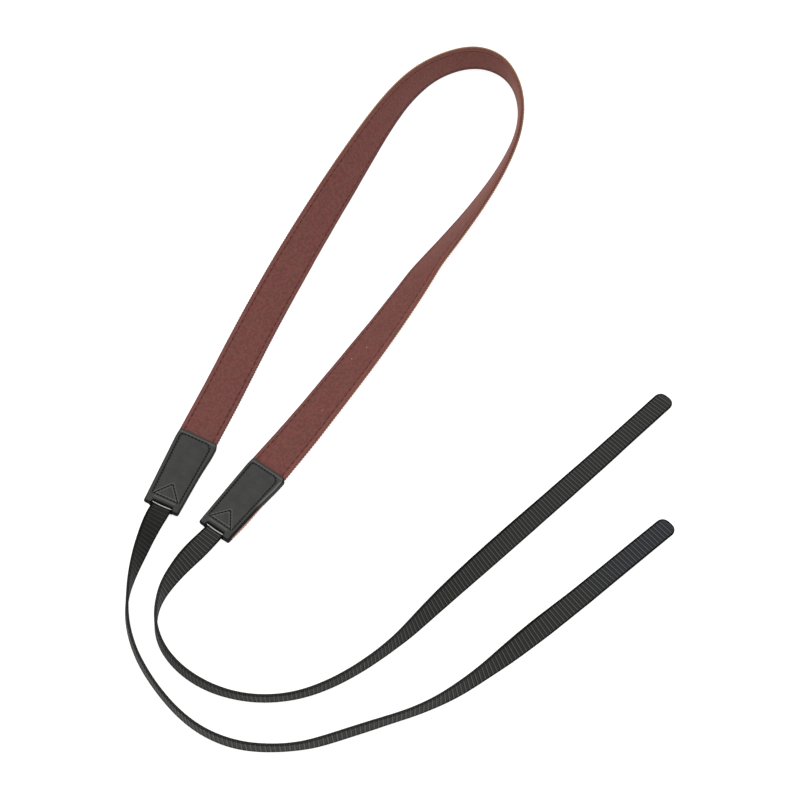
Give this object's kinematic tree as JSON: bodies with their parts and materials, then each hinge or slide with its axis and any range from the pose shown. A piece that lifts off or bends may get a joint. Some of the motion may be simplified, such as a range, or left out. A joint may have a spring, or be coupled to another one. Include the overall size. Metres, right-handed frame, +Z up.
{
  "type": "neck lanyard for a hand controller",
  "caption": "Neck strap of a soft brown band on ribbed backing, with black leather end tabs and black ribbed webbing tails, laid in a loose loop.",
  "frame": {"origin": "middle of the laid lanyard's bounding box, on the table that it lies on", "axes": "+Z up from the table, +Y from the tails towards the neck band's loop, +X towards the free ends"},
  "size_m": [0.2624, 0.4072, 0.0203],
  "materials": {
    "brown_face": "fine matt brown fabric, soft nap",
    "brown_ribbed": "ribbed brown webbing",
    "black_leather": "fine grained black leather, satin",
    "black_webbing": "black ribbed polyester webbing, matt"
  },
  "bodies": {
    "root": {"neck_pad": "brown_face", "pad_backing": "brown_ribbed", "end_tab_left": "black_leather", "end_tab_right": "black_leather", "webbing_left": "black_webbing", "webbing_right": "black_webbing"}
  },
  "joints": []
}
